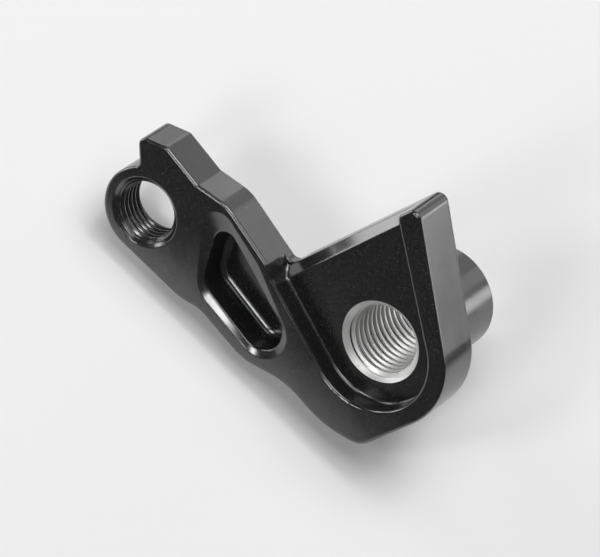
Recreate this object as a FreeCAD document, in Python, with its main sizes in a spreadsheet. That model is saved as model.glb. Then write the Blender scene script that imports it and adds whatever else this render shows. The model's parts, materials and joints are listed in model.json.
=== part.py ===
"""Replaceable derailleur hanger for a bicycle frame, machined from one block of aluminium.

Frame, in millimetres, as the hanger sits on the bicycle: +X forward, +Y inboard towards the wheel,
+Z up. The origin lies on the axle's axis, in the seat that the hub's end cap bears on.
Sketches lie in planes across Y, so their own x and y are the part's X and Z.
"""
import FreeCAD, Part
import Sketcher
import math
import os

NODE = "hanger_body"

# Driving dimensions
SIZES = {
    # thickness of the parts, measured along the axle
    "recess_depth": 3.4,
    "floor_thickness": 5.0,
    "arm_thickness": 7.0,
    "boss_reach": 14.3,
    # round the axle
    "recess_radius": 9.6,
    "rim_wall": 2.85,
    "rim_shift": 0.6,
    "rim_rise": 0.9,
    "axle_bore_radius": 6.0,
    "axle_bore_chamfer": 0.4,
    "boss_wall": 2.25,
    # derailleur bolt, behind and below the axle
    "ring_back": 24.5,
    "ring_down": 32.0,
    "bolt_bore_radius": 5.0,
    "bolt_bore_chamfer": 0.55,
    "ring_wall": 2.1,
    # lower end of the pad, where the hub slides in, leaning down towards the front
    "end_down": 15.5,
    "end_lean": 0.5,
    "wall_end_outside": 10.5,
    "wall_end_round": 1.4,
    "wall_end_width": 4.15,
    "wall_inner_round": 1.2,
    "lead_in": 1.5,
    "lead_in_above": 0.35,
    "lead_in_side": 1.05,
    "lead_in_round": 0.8,
    "overrun": 3.6,
    # how far the floor and its ramp run into the recess's walls, and the ramp into the floor
    "floor_bite": 0.5,
    "ramp_overlap": 3.0,
    # rear edge of the outline, from the pad down to the ring
    "shoulder_outside": 0.45,
    "shoulder_round": 4.0,
    "flank_outside": 4.8,
    "flank_down": 5.3,
    "flank_round": 18.0,
    "waist_outside": 6.95,
    "waist_down": 0.6,
    "waist_round": 13.0,
    "hip_ahead": 2.85,
    "hip_down": 6.35,
    "hip_round": 9.0,
    "shin_ahead": 0.3,
    "shin_above": 16.4,
    "shin_round": 6.0,
    "ankle_behind": 2.35,
    "ankle_below": 2.9,
    "ankle_round": 10.0,
    # stop lug, each corner measured from the one before and the first from the derailleur bolt
    "lug_root_ahead": 3.2,
    "lug_root_below": 6.4,
    "lug_root_round": 1.0,
    "lug_tip_ahead": 2.55,
    "lug_tip_below": 4.2,
    "lug_tip_round": 1.2,
    "lug_heel_ahead": 3.65,
    "lug_heel_above": 3.5,
    "lug_heel_round": 1.2,
    "lug_foot_ahead": 1.6,
    "lug_foot_above": 6.8,
    "lug_foot_round": 0.9,
    # front edge of the arm
    "throat_outside": 0.8,
    "throat_above": 4.8,
    "throat_round": 6.0,
    "crook_inside": 0.8,
    "crook_round": 1.3,
    # raised seat against the frame
    "seat_outside": 0.6,
    "seat_corner_above": 5.5,
    "seat_corner_round": 3.0,
    "seat_foot_ahead": 3.8,
    "seat_foot_below": 1.5,
    # weight-saving pocket: four round corners, and how much wider its bevelled rim is at each
    "pocket_depth": 5.3,
    "pocket_floor_round": 1.2,
    "rim_drop": 0.5,
    "head_outside": 6.4,
    "head_down": 9.4,
    "head_round": 3.5,
    "heel_behind": 1.45,
    "heel_below": 8.3,
    "heel_round": 3.8,
    "toe_ahead": 3.0,
    "toe_below": 4.9,
    "toe_round": 2.0,
    "cheek_above": 5.3,
    "cheek_behind": 0.05,
    "cheek_round": 2.1,
    "bevel_head_ahead": 0.1,
    "bevel_head_above": 0.5,
    "bevel_head": 0.75,
    "bevel_heel_behind": 0.45,
    "bevel_heel_above": 0.4,
    "bevel_heel": 0.7,
    "bevel_toe_ahead": 0.55,
    "bevel_toe_below": 2.6,
    "bevel_toe": 0.75,
    "bevel_cheek_ahead": 1.5,
    "bevel_cheek_below": 0.7,
    "bevel_cheek": 0.4,
    # broken edges
    "edge_round": 0.45,
    "seat_edge_round": 0.4,
    "arm_back_bevel": 0.3,
    "recess_floor_round": 0.35,
    "ramp_edge_round": 0.5,
    "pocket_edge_round": 0.25,
    "boss_edge_chamfer": 0.5,
}

# Places that several outlines share, as sums of sizes
AXLE_RIM = ("+recess_radius", "+rim_wall")
BOSS_RADIUS = ("+axle_bore_radius", "+boss_wall")
RING_RADIUS = ("+bolt_bore_radius", "+ring_wall")
WALL_END_AHEAD = ("+recess_radius", "+wall_end_outside")
RING_X = ("-ring_back",)
RING_Z = ("-ring_down",)
END_Z = ("-end_down",)
FRONT_END_Z = END_Z + ("-end_lean",)

# Drop of the open end for each millimetre towards the front, and its height where the ramp starts
END_SLOPE = "Sizes.end_lean / (Sizes.wall_end_outside + 2 * Sizes.recess_radius - Sizes.crook_inside)"
RAMP_TOP = "Sizes.end_down - Sizes.lead_in - (Sizes.floor_bite + Sizes.crook_inside) * " + END_SLOPE

# How close an edge lies to a plane to count as in it
NEAR = 1e-4


def value(terms):
    """Adds up signed sizes, such as ("-ring_back", "+lug_tip_ahead")."""
    return sum(SIZES[term[1:]] * (-1 if term[0] == "-" else 1) for term in terms)


def formula(terms):
    """The same sum as an expression on the sheet's cells."""
    return " ".join("%s Sizes.%s" % (term[0], term[1:]) for term in terms).lstrip("+ ")


def make_sheet(doc):
    """Writes the driving dimensions into a sheet, one named cell each."""
    sheet = doc.addObject("Spreadsheet::Sheet", "Sizes")
    for row, (name, size) in enumerate(SIZES.items(), start=1):
        sheet.set("A%d" % row, name)
        sheet.set("B%d" % row, str(size))
        sheet.setAlias("B%d" % row, name)
    doc.recompute()
    return sheet


def plane_sketch(body, name, offset=()):
    """A sketch across Y, moved towards the frame by the given sizes."""
    plane = next(f for f in body.Origin.OriginFeatures if f.Role == "XZ_Plane")
    sketch = body.newObject("Sketcher::SketchObject", name)
    sketch.AttachmentSupport = [(plane, "")]
    sketch.MapMode = "FlatFace"
    if offset:
        sketch.setExpression(".AttachmentOffset.Base.z", formula(offset))
    return sketch


class Corner:
    """One round corner of an outline, held by its vertex or by the centre of its arc."""

    def __init__(self, name, x, z, radius, by="vertex"):
        self.name = name
        self.x = x
        self.z = z
        self.radius = radius
        self.by = by

    def point(self):
        return FreeCAD.Vector(value(self.x), value(self.z), 0)

    def size(self):
        return value(self.radius)


def turned(vector, angle):
    """A vector turned anticlockwise in the sketch."""
    cos, sin = math.cos(angle), math.sin(angle)
    return FreeCAD.Vector(vector.x * cos - vector.y * sin, vector.x * sin + vector.y * cos, 0)


def run_between(first, second):
    """Direction of the straight run from one corner to the next, with arc centres on its left."""
    across = second.point() - first.point()
    offset = 0.0
    if first.by == "centre":
        offset += first.size()
    if second.by == "centre":
        offset -= second.size()
    direction = FreeCAD.Vector(across).normalize()
    return turned(direction, math.asin(offset / across.Length))


def corner_arc(corner, way_in, way_out):
    """Centre and the two ends of a corner's arc, and whether it turns left."""
    left = way_in.cross(way_out).z > 0
    side = math.pi / 2 if left else -math.pi / 2
    radius = corner.size()
    if corner.by == "centre":
        centre = corner.point()
    else:
        turn = abs(math.atan2(way_in.cross(way_out).z, way_in.dot(way_out)))
        start = corner.point() - way_in * (radius * math.tan(turn / 2))
        centre = start + turned(way_in, side) * radius
    return centre, centre - turned(way_in, side) * radius, centre - turned(way_out, side) * radius, left


def root_arc(ring, root, tip):
    """Arc of the hollow where a round end runs into the straight side of a lug."""
    way = (tip.point() - root.point()).normalize()
    outward = turned(way, -math.pi / 2)
    radius = root.size()
    start = root.point() + outward * radius - ring.point()
    along = start.dot(way)
    reach = math.sqrt((ring.size() + radius) ** 2 - start.Length ** 2 + along ** 2)
    centre = ring.point() + start + way * (reach - along)
    away = (centre - ring.point()).normalize()
    return centre, ring.point() + away * ring.size(), centre - outward * radius, False


def draw_outline(sketch, corners):
    """Draws a closed outline, anticlockwise: arcs at the corners, straight runs between them.

    A corner held by "root" follows a round end and starts at its arc, with no run between.
    """
    count = len(corners)
    ways = [run_between(corners[i], corners[(i + 1) % count]) for i in range(count)]
    arcs = []
    for i, corner in enumerate(corners):
        if corner.by == "root":
            arcs.append(root_arc(corners[i - 1], corner, corners[(i + 1) % count]))
        else:
            arcs.append(list(corner_arc(corner, ways[i - 1], ways[i])))
    for i, corner in enumerate(corners):
        if corner.by == "root":
            arcs[i - 1][2] = arcs[i][1]
    shapes, helpers = [], []
    for i, corner in enumerate(corners):
        centre, start, end, left = arcs[i]
        first, last = (start, end) if left else (end, start)
        circle = Part.Circle(centre, FreeCAD.Vector(0, 0, 1), corner.size())
        shapes.append(Part.ArcOfCircle(circle, circle.parameter(first), circle.parameter(last)))
        if corners[(i + 1) % count].by != "root":
            shapes.append(Part.LineSegment(end, arcs[(i + 1) % count][1]))
    sketch.addGeometry(shapes, False)
    bind_outline(sketch, corners, arcs)


def bind_outline(sketch, corners, arcs):
    """Ties an outline's arcs and runs together and to the sheet."""
    count = len(corners)
    follows = [corners[(i + 1) % count].by == "root" for i in range(count)]
    first_of, index = [], 0
    for i in range(count):
        first_of.append(index)
        index += 1 if follows[i] else 2
    for i in range(count):
        arc, after = first_of[i], (i + 1) % count
        leaving = 2 if arcs[i][3] else 1
        arriving = 1 if arcs[after][3] else 2
        if follows[i]:
            link(sketch, "Tangent", arc, leaving, first_of[after], arriving)
        else:
            link(sketch, "Tangent", arc, leaving, arc + 1, 1)
            link(sketch, "Tangent", arc + 1, 2, first_of[after], arriving)
    for i, corner in enumerate(corners):
        measure(sketch, corner.name + "_arc", formula(corner.radius), "Radius", first_of[i], corner.size())
        if corner.by == "centre":
            place(sketch, corner, first_of[i], 3)
            continue
        vertex = sketch.addGeometry(Part.Point(corner.point()), True)
        place(sketch, corner, vertex, 1)
        link(sketch, "PointOnObject", vertex, 1, first_of[i] + 1)
        if corner.by == "vertex":
            link(sketch, "PointOnObject", vertex, 1, first_of[i - 1] + 1)


def link(sketch, kind, *which):
    """Adds a constraint that has no size."""
    return sketch.addConstraint(Sketcher.Constraint(kind, *which))


def measure(sketch, name, expression, kind, *which):
    """Adds a constraint with a size and binds it to the sheet."""
    index = link(sketch, kind, *which)
    sketch.renameConstraint(index, name)
    sketch.setExpression("Constraints." + name, expression)


def place(sketch, corner, shape, spot):
    """Holds a point of the sketch at a corner's place, or at the axle where it has none."""
    if not corner.x and not corner.z:
        link(sketch, "Coincident", shape, spot, -1, 1)
        return
    measure(sketch, corner.name + "_x", formula(corner.x), "DistanceX", -1, 1, shape, spot, value(corner.x))
    measure(sketch, corner.name + "_z", formula(corner.z), "DistanceY", -1, 1, shape, spot, value(corner.z))


def draw_circle(sketch, name, x, z, radius):
    """Draws one circle, bound to the sheet."""
    corner = Corner(name, x, z, radius, by="centre")
    normal = FreeCAD.Vector(0, 0, 1)
    circle = sketch.addGeometry(Part.Circle(corner.point(), normal, corner.size()), False)
    place(sketch, corner, circle, 3)
    measure(sketch, name + "_radius", formula(corner.radius), "Radius", circle, corner.size())


def pad(body, name, sketch, length):
    """Adds material from a sketch towards the frame."""
    feature = body.newObject("PartDesign::Pad", name)
    feature.Profile = sketch
    feature.setExpression("Length", formula(length))
    return finish(body, feature)


def pocket(body, name, sketch, length=(), towards_frame=False):
    """Removes material from a sketch, or right through where no length is given."""
    before = body.Shape.Volume
    feature = body.newObject("PartDesign::Pocket", name)
    feature.Profile = sketch
    if length:
        feature.setExpression("Length", formula(length))
    else:
        feature.Type = "ThroughAll"
        feature.Midplane = True
    feature.Reversed = towards_frame
    finish(body, feature)
    if not body.Shape.Volume < before - NEAR:
        raise RuntimeError(name + " cuts nothing")
    return feature


def finish(body, feature):
    """Recomputes a feature and stops if it failed."""
    body.Document.recompute()
    if "Invalid" in feature.State or "Error" in feature.State or not feature.Shape.isValid():
        raise RuntimeError("%s failed: %s" % (feature.Name, feature.State))
    return feature


def dress(body, kind, name, size, wanted):
    """Rounds or bevels the edges of the body that the test picks."""
    base = body.Tip
    names = ["Edge%d" % i for i, edge in enumerate(base.Shape.Edges, start=1) if wanted(edge)]
    if not names:
        raise RuntimeError(name + " finds no edges")
    feature = body.newObject("PartDesign::" + kind, name)
    feature.Base = (base, names)
    feature.setExpression("Radius" if kind == "Fillet" else "Size", "Sizes." + size)
    return finish(body, feature)


def in_plane(edge, y):
    """Whether an edge lies in the plane across Y at this place."""
    box = edge.BoundBox
    return abs(box.YMin - y) < NEAR and abs(box.YMax - y) < NEAR


def is_round(edge, x, z, radius):
    """Whether an edge is a circle of this radius about this axis."""
    curve = edge.Curve
    if not isinstance(curve, Part.Circle) or abs(curve.Radius - radius) > 1e-3:
        return False
    return math.hypot(curve.Center.x - x, curve.Center.z - z) < 1e-3


def arm_outline(body):
    """Outline of the whole hanger: rim, arm, ring, stop lug and open end."""
    root = (RING_X + ("+lug_root_ahead",), RING_Z + ("-lug_root_below",))
    tip = (root[0] + ("+lug_tip_ahead",), root[1] + ("-lug_tip_below",))
    heel = (tip[0] + ("+lug_heel_ahead",), tip[1] + ("+lug_heel_above",))
    foot = (heel[0] + ("+lug_foot_ahead",), heel[1] + ("+lug_foot_above",))
    throat = (("-recess_radius", "-throat_outside"), foot[1] + ("+throat_above",))
    shin = (RING_X + ("+shin_ahead",), RING_Z + ("+shin_above",))
    ankle = (shin[0] + ("-ankle_behind",), shin[1] + ("-ankle_below",))
    corners = [
        Corner("rim", ("+rim_shift",), ("+rim_rise",), AXLE_RIM + ("-rim_rise",), by="centre"),
        Corner("shoulder", ("-recess_radius", "-shoulder_outside"), AXLE_RIM, ("+shoulder_round",)),
        Corner("flank", ("-recess_radius", "-flank_outside"), AXLE_RIM + ("-flank_down",), ("+flank_round",)),
        Corner("waist", ("-recess_radius", "-waist_outside"), ("-waist_down",), ("+waist_round",)),
        Corner("hip", RING_X + ("+hip_ahead",), ("-hip_down",), ("+hip_round",)),
        Corner("shin", *shin, ("+shin_round",)),
        Corner("ankle", *ankle, ("+ankle_round",)),
        Corner("ring", RING_X, RING_Z, RING_RADIUS, by="centre"),
        Corner("lug_root", *root, ("+lug_root_round",), by="root"),
        Corner("lug_tip", *tip, ("+lug_tip_round",)),
        Corner("lug_heel", *heel, ("+lug_heel_round",)),
        Corner("lug_foot", *foot, ("+lug_foot_round",)),
        Corner("throat", *throat, ("+throat_round",)),
        Corner("crook", ("-recess_radius", "+crook_inside"), END_Z, ("+crook_round",)),
        Corner("wall_end", WALL_END_AHEAD, FRONT_END_Z, ("+wall_end_round",)),
    ]
    sketch = plane_sketch(body, "ArmOutline", ("-recess_depth",))
    draw_outline(sketch, corners)
    return sketch


def relief_outline(body):
    """Outline of the cut that thins the arm at the back and leaves the seat standing."""
    above = AXLE_RIM + ("+overrun",)
    below = RING_Z + ("-lug_root_below", "-lug_tip_below", "-overrun")
    behind = RING_X + ("-bolt_bore_radius", "-ring_wall", "-overrun")
    step = ("-recess_radius", "-seat_outside")
    foot = step + ("+seat_foot_ahead",)
    corners = [
        Corner("above_seat", step, above, ("+edge_round",)),
        Corner("above_rear", behind, above, ("+edge_round",)),
        Corner("below_rear", behind, below, ("+edge_round",)),
        Corner("below_front", foot, below, ("+edge_round",)),
        Corner("seat_foot", foot, END_Z + ("-seat_foot_below",), ("+edge_round",)),
        Corner("seat_corner", step, END_Z + ("+seat_corner_above",), ("+seat_corner_round",)),
    ]
    sketch = plane_sketch(body, "ReliefOutline", ("-recess_depth", "+arm_thickness"))
    draw_outline(sketch, corners)
    return sketch


def recess_outline(body):
    """Outline of the recess for the hub's end cap, open past the lower end."""
    below = FRONT_END_Z + ("-overrun",)
    past_wall = WALL_END_AHEAD + ("+overrun",)
    corners = [
        Corner("recess", (), (), ("+recess_radius",), by="centre"),
        Corner("lead_in", ("-recess_radius",), END_Z + ("+lead_in_above",), ("+lead_in_round",)),
        Corner("past_rear", ("-recess_radius", "+lead_in_side"), below, ("+edge_round",)),
        Corner("past_front", past_wall, below, ("+edge_round",)),
        Corner("past_wall", past_wall, FRONT_END_Z, ("+edge_round",)),
        Corner("wall_corner", WALL_END_AHEAD + ("-wall_end_width",), FRONT_END_Z, ("+wall_inner_round",)),
    ]
    sketch = plane_sketch(body, "RecessOutline", ("+lead_in",))
    draw_outline(sketch, corners)
    return sketch


def lay_recess_floor(body):
    """Puts the floor back into the recess, with a ramp at its lower end from wall to wall."""
    low = END_Z + ("+lead_in", "+floor_bite")
    ahead = WALL_END_AHEAD + ("-wall_end_width",)
    behind = ("-recess_radius", "-floor_bite")
    corners = [
        Corner("floor", (), (), ("+recess_radius", "+floor_bite"), by="centre"),
        Corner("floor_rear", behind, low, ("+edge_round",)),
        Corner("floor_front", ahead, low, ("+edge_round",)),
    ]
    floor = plane_sketch(body, "FloorOutline")
    draw_outline(floor, corners)
    pad(body, "RecessFloor", floor, ("+lead_in",))
    ramp = body.newObject("Sketcher::SketchObject", "RampProfile")
    plane = next(f for f in body.Origin.OriginFeatures if f.Role == "YZ_Plane")
    ramp.AttachmentSupport = [(plane, "")]
    ramp.MapMode = "FlatFace"
    ramp.setExpression(".AttachmentOffset.Base.z", formula(behind))
    draw_ramp(ramp)
    sweep = body.newObject("PartDesign::Pad", "LeadInRamp")
    sweep.Profile = ramp
    sweep.UseCustomVector = True
    sweep.Direction = FreeCAD.Vector(1, 0, 0)
    sweep.AlongSketchNormal = True
    sweep.setExpression("Direction.z", "-(%s)" % END_SLOPE)
    sweep.setExpression("Length", formula(ahead + ("+recess_radius", "+floor_bite", "+floor_bite")))
    finish(body, sweep)


def draw_ramp(sketch):
    """Draws the ramp's section, seen along X: part of the floor's thickness with its end sloped away."""
    drop, overlap = SIZES["lead_in"], SIZES["ramp_overlap"]
    top = value(END_Z) + drop
    corners = [(0, top + overlap), (0, top), (-drop, top - drop), (-drop, top + overlap)]
    points = [FreeCAD.Vector(y, z, 0) for y, z in corners]
    sides = [Part.LineSegment(points[i], points[(i + 1) % 4]) for i in range(4)]
    sketch.addGeometry(sides, False)
    for i in range(4):
        link(sketch, "Coincident", i, 2, (i + 1) % 4, 1)
    link(sketch, "Vertical", 0)
    link(sketch, "Vertical", 2)
    link(sketch, "Horizontal", 3)
    link(sketch, "PointOnObject", 0, 1, -2)
    measure(sketch, "ramp_top", RAMP_TOP, "DistanceY", 0, 2, -1, 1, -top)
    measure(sketch, "ramp_overlap", "Sizes.ramp_overlap", "DistanceY", 0, 2, 0, 1, overlap)
    measure(sketch, "ramp_width", "Sizes.lead_in", "DistanceX", 1, 2, 1, 1, drop)
    measure(sketch, "ramp_height", "Sizes.lead_in", "DistanceY", 1, 2, 1, 1, drop)


def pocket_corners():
    """Places and radii of the pocket's four round corners, by name."""
    head = (("-recess_radius", "-head_outside"), ("-head_down",))
    heel = (head[0] + ("-heel_behind",), head[1] + ("-heel_below",))
    toe = (heel[0] + ("+toe_ahead",), heel[1] + ("-toe_below",))
    cheek = (toe[0] + ("-cheek_behind",), toe[1] + ("+cheek_above",))
    return {
        "head": head + (("+head_round",),),
        "heel": heel + (("+heel_round",),),
        "toe": toe + (("+toe_round",),),
        "cheek": cheek + (("+cheek_round",),),
    }


def bevel_corners():
    """The same corners where the bevelled rim meets the arm's front."""
    shifts = {
        "head": ("+bevel_head_ahead", "+bevel_head_above"),
        "heel": ("-bevel_heel_behind", "+bevel_heel_above"),
        "toe": ("+bevel_toe_ahead", "-bevel_toe_below"),
        "cheek": ("+bevel_cheek_ahead", "-bevel_cheek_below"),
    }
    return {
        name: (x + (shifts[name][0],), z + (shifts[name][1],), radius + ("+bevel_" + name,))
        for name, (x, z, radius) in pocket_corners().items()
    }


def pocket_outline(body, name, corners, depth):
    """Outline round four round corners, in the plane at this depth."""
    sketch = plane_sketch(body, name, depth)
    draw_outline(sketch, [Corner(spot, *sizes, by="centre") for spot, sizes in corners.items()])
    return sketch


def cut_arm_pocket(body):
    """Mills the blind pocket into the arm, with a bevelled rim of uneven width."""
    rim = pocket_outline(body, "PocketRimOutline", bevel_corners(), ("-recess_depth",))
    floor = pocket_outline(body, "PocketOutline", pocket_corners(), ("-recess_depth", "+rim_drop"))
    bevel = body.newObject("PartDesign::SubtractiveLoft", "PocketRim")
    bevel.Profile = rim
    bevel.Sections = [floor]
    bevel.Ruled = True
    finish(body, bevel)
    pocket(body, "ArmPocket", floor, ("+pocket_depth", "-rim_drop"), towards_frame=True)


def drill(body, name, x, z, radius):
    """Drills a bore right through, at the full diameter of its thread."""
    sketch = plane_sketch(body, name + "Circle")
    draw_circle(sketch, name, x, z, radius)
    return pocket(body, name, sketch)


def make_blank(body):
    """Arm and pad with the hub's recess, the raised seat and the boss."""
    pad(body, "Plate", arm_outline(body), ("+recess_depth", "+floor_thickness"))
    step = ("+recess_depth", "+floor_thickness", "-arm_thickness")
    pocket(body, "BackRelief", relief_outline(body), step, towards_frame=True)
    pocket(body, "HubRecess", recess_outline(body), ("+recess_depth", "+lead_in"))
    lay_recess_floor(body)


def break_plate_edges(body):
    """Lead-in, floor corner and broken edges of the plate, before the pocket and the bores."""
    front = SIZES["recess_depth"]
    seat, arm_back = -SIZES["floor_thickness"], front - SIZES["arm_thickness"]

    def ramp_edge(edge):
        """The floor's edge above the ramp, across the open end."""
        if not in_plane(edge, 0) or not isinstance(edge.Curve, Part.Line):
            return False
        return abs(edge.Curve.Direction.x) > abs(edge.Curve.Direction.z)

    def floor_corner(edge):
        """The foot of the recess's wall."""
        return in_plane(edge, 0) and not ramp_edge(edge)

    def arm_back_edge(edge):
        """The arm's back edges, apart from the foot of the seat."""
        if not in_plane(edge, arm_back):
            return False
        faces = body.Tip.Shape.ancestorsOfType(edge, Part.Face)
        return any(face.BoundBox.YMax > 0 for face in faces)

    dress(body, "Fillet", "RampEdge", "ramp_edge_round", ramp_edge)
    dress(body, "Fillet", "FloorCorner", "recess_floor_round", floor_corner)
    dress(body, "Fillet", "FrontEdges", "edge_round", lambda edge: in_plane(edge, front))
    dress(body, "Fillet", "SeatEdges", "seat_edge_round", lambda edge: in_plane(edge, seat))
    dress(body, "Chamfer", "ArmBackEdges", "arm_back_bevel", arm_back_edge)


def add_boss(body):
    """The round boss that passes through the frame."""
    circle = plane_sketch(body, "BossCircle")
    draw_circle(circle, "boss", (), (), BOSS_RADIUS)
    pad(body, "Boss", circle, ("+floor_thickness", "+boss_reach"))


def make_cuts(body):
    """Pocket of the arm and the two threaded bores."""
    cut_arm_pocket(body)
    drill(body, "AxleBore", (), (), ("+axle_bore_radius",))
    drill(body, "BoltBore", RING_X, RING_Z, ("+bolt_bore_radius",))


def break_cut_edges(body):
    """Bevels of the bores and the boss, and rounded edges of the arm's pocket."""
    rim_level = SIZES["recess_depth"] - SIZES["rim_drop"]
    pocket_floor = SIZES["recess_depth"] - SIZES["pocket_depth"]
    boss_end = -SIZES["floor_thickness"] - SIZES["boss_reach"]
    ring_x, ring_z = value(RING_X), value(RING_Z)
    dress(body, "Chamfer", "AxleBoreBevels", "axle_bore_chamfer",
          lambda edge: is_round(edge, 0, 0, SIZES["axle_bore_radius"]))
    dress(body, "Chamfer", "BoltBoreBevels", "bolt_bore_chamfer",
          lambda edge: is_round(edge, ring_x, ring_z, SIZES["bolt_bore_radius"]))
    dress(body, "Chamfer", "BossBevel", "boss_edge_chamfer",
          lambda edge: is_round(edge, 0, 0, value(BOSS_RADIUS)) and in_plane(edge, boss_end))
    dress(body, "Fillet", "PocketFloor", "pocket_floor_round", lambda edge: in_plane(edge, pocket_floor))
    dress(body, "Fillet", "PocketEdges", "pocket_edge_round", lambda edge: in_plane(edge, rim_level))


def build(doc):
    """Builds the hanger's one body."""
    body = doc.addObject("PartDesign::Body", "HangerBody")
    body.Label = NODE
    body.Placement = FreeCAD.Placement()
    make_blank(body)
    break_plate_edges(body)
    add_boss(body)
    make_cuts(body)
    break_cut_edges(body)
    return body


def check(doc, body):
    """Stops if anything in the document failed, before the part is written."""
    doc.recompute()
    for item in doc.Objects:
        if "Invalid" in item.State or "Error" in item.State:
            raise RuntimeError("%s is %s" % (item.Name, item.State))
    shape = body.Shape
    if shape.isNull() or not shape.isValid() or len(shape.Solids) != 1:
        raise RuntimeError("the hanger is not one valid solid")


def main():
    doc = FreeCAD.newDocument("DerailleurHanger")
    make_sheet(doc)
    body = build(doc)
    check(doc, body)
    os.makedirs("parts", exist_ok=True)
    body.Shape.exportStep(os.path.join("parts", NODE + ".step"))
    print("volume %.0f mm3, %d faces" % (body.Shape.Volume, len(body.Shape.Faces)))


main()
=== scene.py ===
"""Looks of a bicycle derailleur hanger: anodised and bare metal, threads, table, lamps and camera.

Everything is placed in metres in the part's own frame: +X forward on the bicycle, +Y towards the wheel,
+Z up, with the origin on the axle's axis in the hub's seat.
"""
import json
import logging
import math
from dataclasses import dataclass, field
from enum import Enum

import bmesh
import bpy
from mathutils import Matrix, Vector

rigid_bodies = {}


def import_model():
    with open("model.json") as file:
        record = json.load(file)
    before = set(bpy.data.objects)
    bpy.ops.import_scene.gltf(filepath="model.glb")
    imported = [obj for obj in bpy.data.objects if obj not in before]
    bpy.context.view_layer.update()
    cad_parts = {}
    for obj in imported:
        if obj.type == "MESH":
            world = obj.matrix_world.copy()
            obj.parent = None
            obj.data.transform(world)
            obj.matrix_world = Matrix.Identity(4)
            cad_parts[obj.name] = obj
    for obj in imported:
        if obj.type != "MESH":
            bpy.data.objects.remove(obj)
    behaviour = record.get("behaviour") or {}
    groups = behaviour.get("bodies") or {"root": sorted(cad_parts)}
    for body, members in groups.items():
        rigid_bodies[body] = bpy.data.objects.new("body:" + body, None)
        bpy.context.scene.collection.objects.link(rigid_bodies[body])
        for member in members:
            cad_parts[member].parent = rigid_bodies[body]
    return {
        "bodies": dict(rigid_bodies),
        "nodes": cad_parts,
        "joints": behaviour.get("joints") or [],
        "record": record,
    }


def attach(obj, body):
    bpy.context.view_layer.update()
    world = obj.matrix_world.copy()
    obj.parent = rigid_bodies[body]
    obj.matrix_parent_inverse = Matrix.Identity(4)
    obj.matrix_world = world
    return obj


MM = 0.001
BODY = "root"
HANGER = "hanger_body"
WHITE = (1.0, 1.0, 1.0, 1.0)
NOISE_LOW, NOISE_HIGH = 0.3, 0.7

Colour = tuple[float, float, float, float]
Socket = bpy.types.NodeSocket

log = logging.getLogger("hanger")


class Hand(Enum):
    """Which way a thread turns."""

    RIGHT = 1
    LEFT = -1


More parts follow.
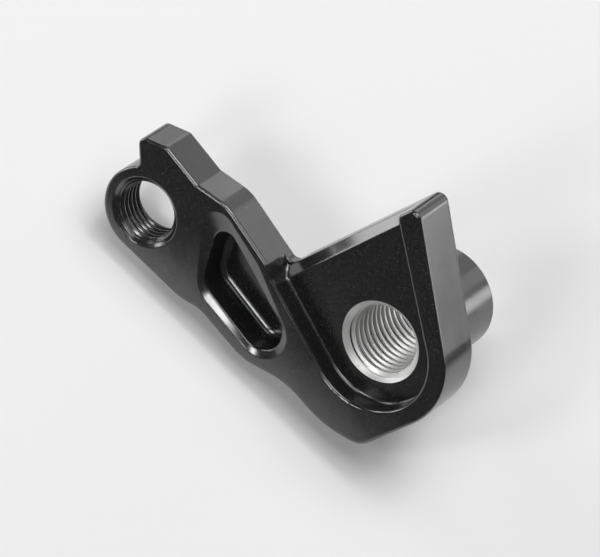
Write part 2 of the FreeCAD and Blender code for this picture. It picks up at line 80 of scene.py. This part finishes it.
class ShaderGraph:
    """A material's node tree, with short calls for adding nodes and wiring them."""

    def __init__(self, name: str) -> None:
        """Starts an empty node material.

        Args:
            name: The material's name.
        """
        self.material = bpy.data.materials.new(name)
        self.material.use_nodes = True
        self.tree = self.material.node_tree
        self.tree.nodes.clear()
        self.output = self.tree.nodes.new("ShaderNodeOutputMaterial")

    def add(self, kind: str, inputs: dict | None = None, **settings: object) -> bpy.types.Node:
        """Adds one node.

        Args:
            kind: The node's type, without its ShaderNode prefix.
            inputs: Values or output sockets for the node's inputs, by name or number.
            settings: The node's own properties.

        Returns:
            The new node.
        """
        node = self.tree.nodes.new("ShaderNode" + kind)
        for name, value in settings.items():
            setattr(node, name, value)
        for name, value in (inputs or {}).items():
            if isinstance(value, bpy.types.NodeSocket):
                self.tree.links.new(value, node.inputs[name])
            else:
                node.inputs[name].default_value = value
        return node

    def math(self, operation: str, first: object, second: object) -> Socket:
        """Adds a math node.

        Args:
            operation: Blender's name of the operation.
            first: A value or an output socket.
            second: A value or an output socket.

        Returns:
            The result's socket.
        """
        node = self.add("Math", {0: first, 1: second}, operation=operation)
        return node.outputs[0]

    def spread(self, value: Socket, low: float, high: float, to_low: float, to_high: float) -> Socket:
        """Maps a range of a value to another range, smoothly and without going past its ends.

        Args:
            value: The socket to map.
            low: Where the range starts.
            high: Where the range ends.
            to_low: The result at the start.
            to_high: The result at the end.

        Returns:
            The result's socket.
        """
        inputs = {"Value": value, "From Min": low, "From Max": high, "To Min": to_low, "To Max": to_high}
        return self.add("MapRange", inputs, interpolation_type="SMOOTHSTEP").outputs["Result"]

    def noise(self, place: Socket, size: float, detail: float, roughness: float) -> Socket:
        """Adds a noise.

        Args:
            place: The coordinates to read it at.
            size: How wide its largest waves are, in the coordinates' units.
            detail: How many times finer waves are added.
            roughness: How strong the finer waves are.

        Returns:
            The socket with the noise, which lies mostly between NOISE_LOW and NOISE_HIGH.
        """
        inputs = {"Vector": place, "Scale": 1 / size, "Detail": detail, "Roughness": roughness}
        return self.add("TexNoise", inputs).outputs[0]

    def specks(self, place: Socket, spacing: float, radius: float) -> Socket:
        """Scatters round specks with soft rims, about one for each cube of the spacing's width.

        Args:
            place: The coordinates to read them at.
            spacing: The usual distance from one to the next.
            radius: Where a speck's rim ends.

        Returns:
            The socket, with 1 in a speck and 0 beside it.
        """
        rim = radius / spacing
        cell = self.add("TexVoronoi", {"Vector": place, "Scale": 1 / spacing})
        return self.spread(cell.outputs["Distance"], rim / 2, rim, 1.0, 0.0)

    def from_axle(self, place: Socket) -> Socket:
        """Measures the distance from the axle's axis, which runs along Y through the origin.

        Args:
            place: The coordinates to measure at.

        Returns:
            The socket with the distance.
        """
        flat = self.add("VectorMath", {0: place, 1: (1.0, 0.0, 1.0)}, operation="MULTIPLY")
        return self.add("VectorMath", {0: flat.outputs[0]}, operation="LENGTH").outputs["Value"]

    def blend(self, share: Socket, first: Colour | Socket, second: Colour | Socket) -> Socket:
        """Mixes two colours.

        Args:
            share: How much of the second colour there is.
            first: A colour or its socket.
            second: A colour or its socket.

        Returns:
            The mixed colour's socket.
        """
        # a mix node has sockets for several kinds: the colours go in at 6 and 7 and come out at 2
        mix = self.add("Mix", {0: share, 6: first, 7: second}, data_type="RGBA")
        return mix.outputs[2]

    def surface(self, shader: bpy.types.Node) -> bpy.types.Material:
        """Wires the last shader to the output and gives the material.

        Args:
            shader: The node whose first output is the finished shader.

        Returns:
            The material.
        """
        self.tree.links.new(shader.outputs[0], self.output.inputs["Surface"])
        return self.material


@dataclass(frozen=True)
class AnodisedFinish:
    """Black anodised aluminium with a fine satin blast under it and a little dust on it.

    The blast's grain is paler where it stands up. Edges catch the light in a soft line: a fine one round the
    recess and a wider one along the arm. Lengths are in millimetres.

    Args:
        colour: The coat's own colour.
        roughness: How matt it is on average.
        roughness_spread: How far the clouds make it more or less matt.
        cloud: Width of a cloud.
        ior: The coat's index of refraction, which sets how bright its gloss is.
        grain: Width of the coarsest grains.
        grain_turn: Turn of the grain's lattice, so that no face lies along it.
        grain_height: Height of the grain.
        grain_from: Where in the grain's noise the pale colour starts.
        grain_full: Where it is full.
        grain_colour: Colour on top of the grain.
        fine_edge: Softness of the edges near the axle.
        soft_edge: Softness of the edges further away.
        soft_from: Distance from the axle where the one changes to the other.
        soft_ramp: How far the change reaches to each side.
        edge_samples: Samples of the soft edges.
        dust: Usual distance between specks of dust.
        dust_radius: Size of a speck.
        dust_colour: Its colour.
    """

    colour: Colour = (0.005, 0.005, 0.0055, 1.0)
    roughness: float = 0.18
    roughness_spread: float = 0.03
    cloud: float = 6.0
    ior: float = 2.0
    grain: float = 0.2
    grain_turn: tuple[float, float, float] = (0.5, 0.8, 0.3)
    grain_height: float = 0.003
    grain_from: float = 0.48
    grain_full: float = 0.7
    grain_colour: Colour = (0.055, 0.055, 0.058, 1.0)
    fine_edge: float = 0.2
    soft_edge: float = 0.35
    soft_from: float = 12.5
    soft_ramp: float = 1.0
    edge_samples: int = 6
    dust: float = 2.6
    dust_radius: float = 0.055
    dust_colour: Colour = (0.5, 0.5, 0.5, 1.0)

    def shade(self, graph: ShaderGraph, place: Socket) -> bpy.types.Node:
        """Adds the finish to a material.

        Args:
            graph: The material being built.
            place: Object coordinates in millimetres.

        Returns:
            The shader's node.
        """
        cloud = graph.noise(place, self.cloud, detail=4.0, roughness=0.6)
        smoothest, mattest = self.roughness - self.roughness_spread, self.roughness + self.roughness_spread
        rough = graph.spread(cloud, NOISE_LOW, NOISE_HIGH, smoothest, mattest)
        turned = graph.add("Mapping", {"Vector": place, "Rotation": self.grain_turn}).outputs[0]
        grain = graph.noise(turned, self.grain, detail=3.0, roughness=0.7)
        soft = graph.spread(
            graph.from_axle(place), self.soft_from - self.soft_ramp, self.soft_from + self.soft_ramp,
            self.fine_edge * MM, self.soft_edge * MM)
        edge = graph.add("Bevel", {"Radius": soft}, samples=self.edge_samples)
        bump = graph.add("Bump", {
            "Height": grain, "Distance": self.grain_height * MM, "Strength": 1.0, "Normal": edge.outputs[0]})
        fleck = graph.spread(grain, self.grain_from, self.grain_full, 0.0, 1.0)
        black = graph.blend(fleck, self.colour, self.grain_colour)
        colour = graph.blend(graph.specks(place, self.dust, self.dust_radius), black, self.dust_colour)
        return graph.add("BsdfPrincipled", {
            "Base Color": colour, "Roughness": rough, "IOR": self.ior, "Normal": bump.outputs[0]})


@dataclass(frozen=True)
class BareFinish:
    """Bare cut aluminium, with the tool's fine rings round the bore and a few small nicks.

    The thread's roots are painted dark, as painted shade in its grooves. Lengths are in millimetres.

    Args:
        colour: The metal's colour.
        metallic: How metallic it is; the rest is matt.
        roughness: How matt its gloss is.
        black: Colour of the painted shade in the thread's roots, and of the nicks.
        root_radius: Distance from the axle where the painted shade of the roots begins.
        root_blur: How far the rim of that painted shade reaches to each side.
        root_start: Place along Y where the painted shade of the first root begins.
        ring: Width of the tool's rings.
        ring_stretch: How much longer than wide they are, as the share of X and Z that the noise reads.
        ring_height: Height of the rings.
        nick: Usual distance between nicks.
        nick_radius: Size of a nick.
    """

    colour: Colour = (0.93, 0.93, 0.92, 1.0)
    metallic: float = 0.55
    roughness: float = 0.38
    black: Colour = (0.03, 0.03, 0.03, 1.0)
    root_radius: float = 5.72
    root_blur: float = 0.08
    root_start: float = -1.15
    ring: float = 0.05
    ring_stretch: float = 0.15
    ring_height: float = 0.0015
    nick: float = 1.1
    nick_radius: float = 0.12

    def shade(self, graph: ShaderGraph, place: Socket) -> bpy.types.Node:
        """Adds the finish to a material.

        Args:
            graph: The material being built.
            place: Object coordinates in millimetres.

        Returns:
            The shader's node.
        """
        stretch = (self.ring_stretch, 1.0, self.ring_stretch)
        stretched = graph.add("VectorMath", {0: place, 1: stretch}, operation="MULTIPLY").outputs[0]
        ring = graph.noise(stretched, self.ring, detail=2.0, roughness=0.5)
        bump = graph.add("Bump", {"Height": ring, "Distance": self.ring_height * MM, "Strength": 1.0})
        # painted shade in the thread's roots: past root_radius from the axle and further in than root_start
        # the colour goes to black, and the nicks take the same black
        depth = graph.add("SeparateXYZ", {0: place}).outputs["Y"]
        inner, outer = self.root_radius - self.root_blur, self.root_radius + self.root_blur
        outside = graph.spread(graph.from_axle(place), inner, outer, 0.0, 1.0)
        root = graph.math("MULTIPLY", outside, graph.math("LESS_THAN", depth, self.root_start))
        root_shade_and_nicks = graph.math("MAXIMUM", root, graph.specks(place, self.nick, self.nick_radius))
        return graph.add("BsdfPrincipled", {
            "Base Color": graph.blend(root_shade_and_nicks, self.colour, self.black), "Metallic": self.metallic,
            "Roughness": self.roughness, "Normal": bump.outputs[0]})


@dataclass(frozen=True)
class HangerFinish:
    """The hanger's own materials: anodised all over, bare within bare_radius of the axle's axis."""

    bare_radius: float = 6.41
    anodised: AnodisedFinish = field(default_factory=AnodisedFinish)
    bare: BareFinish = field(default_factory=BareFinish)

    def place(self, graph: ShaderGraph) -> Socket:
        """Gives the object's own coordinates, in millimetres.

        Args:
            graph: The material being built.

        Returns:
            The socket with the coordinates.
        """
        own = graph.add("TexCoord").outputs["Object"]
        scaled = graph.add("VectorMath", {0: own, "Scale": 1 / MM}, operation="SCALE")
        return scaled.outputs[0]

    def two_tone(self) -> bpy.types.Material:
        """Makes the body's material, which changes to bare metal at the axle's bore.

        Returns:
            The material.
        """
        graph = ShaderGraph("hanger_anodised")
        place = self.place(graph)
        inside = graph.math("LESS_THAN", graph.from_axle(place), self.bare_radius)
        black, bare = self.anodised.shade(graph, place), self.bare.shade(graph, place)
        return graph.surface(graph.add("MixShader", {0: inside, 1: black.outputs[0], 2: bare.outputs[0]}))

    def anodised_only(self) -> bpy.types.Material:
        """Makes the material of the derailleur bolt's thread.

        Returns:
            The material.
        """
        graph = ShaderGraph("thread_anodised")
        return graph.surface(self.anodised.shade(graph, self.place(graph)))

    def bare_only(self) -> bpy.types.Material:
        """Makes the material of the axle's thread.

        Returns:
            The material.
        """
        graph = ShaderGraph("thread_bare")
        return graph.surface(self.bare.shade(graph, self.place(graph)))


@dataclass
class InnerThread:
    """Turns of a metric thread in a bore, as a thin closed sleeve that lines it.

    Lengths are in millimetres. The thread runs from one bevel of the bore to the other, and both of its ends
    are countersunk.

    Args:
        name: The piece's name.
        axis_x: Place of the bore's axis along X.
        axis_z: Place of the bore's axis along Z.
        major_radius: The thread's major radius, which is the bore's own.
        pitch: Distance from one turn to the next.
        front: Place of the front end along Y.
        length: How far the thread runs from there towards the frame.
        hand: Which way it turns.
        steps: Faces in one turn.
        cuts: How many times a flank and a crest are divided.
        clearance: How far the roots stay inside the bore's own wall.
        buried: How far the sleeve's outside lies in the metal.
        joined: How close two vertices are to become one.
        slack: How close to an end's plane a vertex counts as in it.
    """

    name: str
    axis_x: float
    axis_z: float
    major_radius: float
    pitch: float
    front: float
    length: float
    hand: Hand = Hand.RIGHT
    steps: int = 120
    cuts: int = 3
    clearance: float = 0.02
    buried: float = 0.1
    joined: float = 0.001
    slack: float = 0.0001

    @property
    def minor_radius(self) -> float:
        """Radius of the crests, by the usual formula of a metric thread."""
        return self.major_radius - self.pitch * math.sqrt(3) / 2 * 5 / 8

    @property
    def root_radius(self) -> float:
        """Radius of the roots."""
        return self.major_radius - self.clearance

    @property
    def back(self) -> float:
        """Place of the sleeve's back end along Y."""
        return self.front - self.length

    def build(self) -> bpy.types.Object:
        """Makes the sleeve as a finished object.

        Returns:
            The object, linked to the scene.
        """
        mesh = bmesh.new()
        self.wind(mesh)
        self.trim(mesh)
        self.countersink(mesh)
        self.close(mesh)
        bmesh.ops.recalc_face_normals(mesh, faces=mesh.faces)
        bmesh.ops.translate(mesh, vec=Vector((self.axis_x, 0, self.axis_z)), verts=mesh.verts)
        bmesh.ops.scale(mesh, vec=Vector((MM, MM, MM)), verts=mesh.verts)
        return finished(self.name, mesh)

    def wind(self, mesh: bmesh.types.BMesh) -> None:
        """Spins one pitch of the profile into turns, one more at each end than the sleeve keeps.

        Args:
            mesh: The mesh to fill, in millimetres about the bore's axis.
        """
        root, crest = self.root_radius, self.minor_radius
        # sixteenths of the pitch, with half a root at each end, two flanks and a crest between them
        stops = [(0, root), (1, root), (6, crest), (10, crest), (15, root), (16, root)]
        start = self.front + self.pitch
        verts = [mesh.verts.new((radius, start - share / 16 * self.pitch, 0)) for share, radius in stops]
        edges = [mesh.edges.new(pair) for pair in zip(verts, verts[1:])]
        bmesh.ops.subdivide_edges(mesh, edges=edges[1:4], cuts=self.cuts)
        profile = list(mesh.verts) + list(mesh.edges)
        bmesh.ops.spin(
            mesh, geom=profile, cent=Vector(), axis=Vector((0, -self.hand.value, 0)),
            dvec=Vector((0, -self.pitch / self.steps, 0)), angle=2 * math.pi, steps=self.steps)
        turn = list(mesh.verts) + list(mesh.edges) + list(mesh.faces)
        for _ in range(math.ceil(self.length / self.pitch) + 1):
            turn = bmesh.ops.duplicate(mesh, geom=turn)["geom"]
            copied = [item for item in turn if isinstance(item, bmesh.types.BMVert)]
            bmesh.ops.translate(mesh, vec=Vector((0, -self.pitch, 0)), verts=copied)
        bmesh.ops.remove_doubles(mesh, verts=mesh.verts, dist=self.joined)

    def trim(self, mesh: bmesh.types.BMesh) -> None:
        """Cuts the turns off flat at both ends.

        Args:
            mesh: The wound thread.
        """
        for level, side in ((self.front, 1), (self.back, -1)):
            everything = list(mesh.verts) + list(mesh.edges) + list(mesh.faces)
            bmesh.ops.bisect_plane(
                mesh, geom=everything, dist=self.slack, plane_co=Vector((0, level, 0)),
                plane_no=Vector((0, side, 0)), clear_outer=True)

    def countersink(self, mesh: bmesh.types.BMesh) -> None:
        """Opens both ends with a 45 degree cone, which carries on the bore's own bevels.

        Args:
            mesh: The trimmed thread.
        """
        for vert in mesh.verts:
            radius = math.hypot(vert.co.x, vert.co.z)
            depth = min(self.front - vert.co.y, vert.co.y - self.back)
            self.widen(vert, max(radius, self.root_radius - depth))

    def close(self, mesh: bmesh.types.BMesh) -> None:
        """Turns the open thread into a closed sleeve, whose outside lies in the part's metal.

        Args:
            mesh: The countersunk thread.
        """
        outside = self.major_radius + self.buried
        ends = [edge for edge in mesh.edges if edge.is_boundary]
        made = bmesh.ops.extrude_edge_only(mesh, edges=ends)["geom"]
        for vert in (item for item in made if isinstance(item, bmesh.types.BMVert)):
            self.widen(vert, outside)
        rims = [item for item in made if isinstance(item, bmesh.types.BMEdge) and item.is_boundary]
        bmesh.ops.bridge_loops(mesh, edges=rims)

    @staticmethod
    def widen(vert: bmesh.types.BMVert, wanted: float) -> None:
        """Moves a vertex straight away from the bore's axis, or towards it.

        Args:
            vert: The vertex.
            wanted: Its new distance from the axis.
        """
        share = wanted / math.hypot(vert.co.x, vert.co.z)
        vert.co.x *= share
        vert.co.z *= share


def finished(name: str, mesh: bmesh.types.BMesh, sharp: float = 50.0) -> bpy.types.Object:
    """Turns a mesh in metres into an object at the origin, smooth apart from its sharp edges.

    Args:
        name: The object's name.
        mesh: The mesh, which is freed.
        sharp: Degrees from which an edge stays sharp.

    Returns:
        The object, linked to the scene.
    """
    for edge in mesh.edges:
        edge.smooth = not edge.is_manifold or edge.calc_face_angle(0) < math.radians(sharp)
    for face in mesh.faces:
        face.smooth = True
    data = bpy.data.meshes.new(name)
    mesh.to_mesh(data)
    mesh.free()
    made = bpy.data.objects.new(name, data)
    bpy.context.scene.collection.objects.link(made)
    return made


@dataclass
class Hanger:
    """The machined body and the turns of its two threads."""

    finish: HangerFinish = field(default_factory=HangerFinish)
    axle_thread: InnerThread = field(default_factory=lambda: InnerThread(
        "axle_thread", axis_x=0.0, axis_z=0.0, major_radius=6.0, pitch=1.25, front=-0.42, length=18.46))
    bolt_thread: InnerThread = field(default_factory=lambda: InnerThread(
        "derailleur_thread", axis_x=-24.5, axis_z=-32.0, major_radius=5.0, pitch=1.0, front=2.83,
        length=5.86))

    def dress(self, frame: dict) -> None:
        """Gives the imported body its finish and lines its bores.
        """
        body = frame["nodes"][HANGER]
        body.data.materials.clear()
        body.data.materials.append(self.finish.two_tone())
        log.info("%s: finish set", HANGER)
        for thread, material in ((self.axle_thread, self.finish.bare_only()),
                                 (self.bolt_thread, self.finish.anodised_only())):
            piece = thread.build()
            piece.data.materials.append(material)
            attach(piece, BODY)
            log.info("%s: %d faces", piece.name, len(piece.data.polygons))


@dataclass(frozen=True)
class Softbox:
    """A flat lamp that faces the object.

    Args:
        name: The lamp's name.
        bearing: Degrees clockwise from the top of the picture, seen from above the table.
        height: Degrees above the table.
        width: Metres across.
        length: Metres from its lower edge to its upper one.
        radiance: How bright its face is, where 1 is white.
        distance: Metres from the object.
    """

    name: str
    bearing: float
    height: float
    width: float
    length: float
    radiance: float
    distance: float = 0.8


@dataclass(frozen=True)
class PhotoCamera:
    """The photograph's camera, in millimetres and degrees about the part's frame.

    Args:
        aim: The point in the middle of the picture.
        azimuth: Direction from there to the camera, anticlockwise from +X.
        elevation: The same direction's height over the X and Y axes.
        roll: Turn of the picture about its middle.
        distance: From the point to the camera.
        sensor: Width of the sensor.
        lens: Focal length.
    """

    aim: tuple[float, float, float] = (-7.470, 0.025, -13.268)
    azimuth: float = 51.807
    elevation: float = -4.998
    roll: float = 151.657
    distance: float = 872.88
    sensor: float = 36.0
    lens: float = 360.0

    @property
    def back(self) -> Vector:
        """Direction from the object to the camera."""
        azimuth, elevation = math.radians(self.azimuth), math.radians(self.elevation)
        flat = math.cos(elevation)
        return Vector((flat * math.cos(azimuth), flat * math.sin(azimuth), math.sin(elevation)))

    @property
    def turn(self) -> Matrix:
        """The camera's turn: its columns are the picture's right, its up and the way back."""
        level = Vector((0, 0, 1)).cross(self.back).normalized()
        right = Matrix.Rotation(math.radians(self.roll), 3, self.back) @ level
        return Matrix((right, self.back.cross(right), self.back)).transposed()

    def build(self) -> bpy.types.Object:
        """Makes the camera and sets it as the scene's own.

        Returns:
            The camera.
        """
        data = bpy.data.cameras.new("photo_camera")
        data.sensor_width = self.sensor
        data.lens = self.lens
        camera = bpy.data.objects.new("photo_camera", data)
        place = (Vector(self.aim) + self.back * self.distance) * MM
        camera.matrix_world = Matrix.Translation(place) @ self.turn.to_4x4()
        bpy.context.scene.collection.objects.link(camera)
        bpy.context.scene.camera = camera
        return camera


@dataclass
class Studio:
    """The white table that the hanger lies on, and the lamps round it.

    The two small lamps at the near left draw the light lines on the front edges, the two large ones light
    the table, and the walls stand near its horizon, where the hanger's sides mirror them.

    Args:
        camera: The camera.
        table_up: The table's upright in the part's frame: the hanger rests on its arm's back and its boss.
        table_radius: Metres from the table's middle to its rim.
        table_sides: Straight sides of its rim.
        table_colour: How white the table is.
        background: What the camera sees past the table, which is as bright as the lit table.
        ambient: Light from all round.
        softboxes: The lamps.
    """

    camera: PhotoCamera = field(default_factory=PhotoCamera)
    table_up: tuple[float, float, float] = (0.7961, 0.5042, -0.3348)
    table_radius: float = 0.067
    table_sides: int = 96
    table_colour: float = 0.93
    background: float = 0.913
    ambient: float = 0.08
    softboxes: tuple[Softbox, ...] = (
        Softbox("softbox_near", bearing=230, height=39, width=0.16, length=0.2, radiance=10.0),
        Softbox("softbox_left", bearing=258, height=42, width=0.16, length=0.2, radiance=10.0),
        Softbox("softbox_top", bearing=40, height=76, width=0.7, length=0.6, radiance=2.1),
        Softbox("softbox_back_right", bearing=45, height=60, width=0.36, length=0.3, radiance=5.5),
        Softbox("wall_left", bearing=302, height=-4, width=0.46, length=0.3, radiance=3.6),
        Softbox("wall_ramp", bearing=322, height=14, width=0.3, length=0.3, radiance=5.5),
        Softbox("wall_far", bearing=14, height=-1, width=0.34, length=0.26, radiance=1.3),
        Softbox("wall_middle", bearing=37, height=6, width=0.34, length=0.28, radiance=0.65),
        Softbox("wall_arm", bearing=63, height=8, width=0.38, length=0.24, radiance=1.1),
        Softbox("wall_right", bearing=87, height=-5, width=0.34, length=0.26, radiance=3.0),
    )

    @property
    def up(self) -> Vector:
        """The table's upright."""
        return Vector(self.table_up).normalized()

    @property
    def away(self) -> Vector:
        """Direction along the table that runs up the picture."""
        picture_up = self.camera.turn.col[1]
        return (picture_up - self.up * picture_up.dot(self.up)).normalized()

    @property
    def aside(self) -> Vector:
        """Direction along the table, to the right of the way up the picture."""
        return self.away.cross(self.up)

    def build(self, body: bpy.types.Object) -> None:
        """Lays the table under the body, and sets the lamps, the world and the view transform.

        Args:
            body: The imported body, which rests on the table.
        """
        lowest = min(self.up.dot(vert.co) for vert in body.data.vertices)
        self.lay_table(lowest)
        for box in self.softboxes:
            self.hang(box)
        self.set_world()
        bpy.context.scene.view_settings.view_transform = "Standard"

    def lay_table(self, level: float) -> None:
        """Makes the table's top.

        Args:
            level: The top's place along its upright, in metres.
        """
        aim, back = Vector(self.camera.aim) * MM, self.camera.back
        centre = aim + back * ((level - self.up.dot(aim)) / self.up.dot(back))
        turn = Matrix((self.aside, self.away, self.up)).transposed()
        mesh = bmesh.new()
        bmesh.ops.create_circle(mesh, cap_ends=True, segments=self.table_sides, radius=self.table_radius)
        bmesh.ops.transform(mesh, matrix=Matrix.Translation(centre) @ turn.to_4x4(), verts=mesh.verts)
        table = finished("table", mesh)
        table.data.materials.append(self.table_finish())

    def table_finish(self) -> bpy.types.Material:
        """Makes a matt white that can't be seen from below.

        Returns:
            The material.
        """
        graph = ShaderGraph("table_white")
        white = graph.add("BsdfDiffuse", {"Color": (self.table_colour,) * 3 + (1.0,)})
        clear = graph.add("BsdfTransparent")
        below = graph.add("NewGeometry").outputs["Backfacing"]
        mix = graph.add("MixShader", {0: below, 1: white.outputs[0], 2: clear.outputs[0]})
        return graph.surface(mix)

    def hang(self, box: Softbox) -> None:
        """Places one lamp, facing the object.

        Args:
            box: The lamp.
        """
        bearing, height = math.radians(box.bearing), math.radians(box.height)
        along = self.away * math.cos(bearing) + self.aside * math.sin(bearing)
        way = along * math.cos(height) + self.up * math.sin(height)
        level = self.aside * math.cos(bearing) - self.away * math.sin(bearing)
        turn = Matrix((level, way.cross(level), way)).transposed()
        data = bpy.data.lights.new(box.name, "AREA")
        data.shape = "RECTANGLE"
        data.size = box.width
        data.size_y = box.length
        data.energy = box.radiance * math.pi * box.width * box.length
        lamp = bpy.data.objects.new(box.name, data)
        place = Vector(self.camera.aim) * MM + way * box.distance
        lamp.matrix_world = Matrix.Translation(place) @ turn.to_4x4()
        lamp.visible_camera = False
        bpy.context.scene.collection.objects.link(lamp)

    def set_world(self) -> None:
        """Sets the surroundings: pale to the camera alone, and a low light for every other ray."""
        world = bpy.data.worlds.new("studio_world")
        bpy.context.scene.world = world
        world.use_nodes = True
        tree = world.node_tree
        tree.nodes.clear()
        path = tree.nodes.new("ShaderNodeLightPath")
        mix = tree.nodes.new("ShaderNodeMixShader")
        output = tree.nodes.new("ShaderNodeOutputWorld")
        tree.links.new(path.outputs["Is Camera Ray"], mix.inputs[0])
        for entry, strength in ((1, self.ambient), (2, self.background)):
            light = tree.nodes.new("ShaderNodeBackground")
            light.inputs["Color"].default_value = WHITE
            light.inputs["Strength"].default_value = strength
            tree.links.new(light.outputs[0], mix.inputs[entry])
        tree.links.new(mix.outputs[0], output.inputs["Surface"])


def main() -> None:
    """Builds the hanger's looks and the studio round it."""
    logging.basicConfig(level=logging.INFO)
    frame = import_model()
    bpy.context.view_layer.update()
    Hanger().dress(frame)
    studio = Studio()
    studio.camera.build()
    studio.build(frame["nodes"][HANGER])


if __name__ == "__main__":
    main()
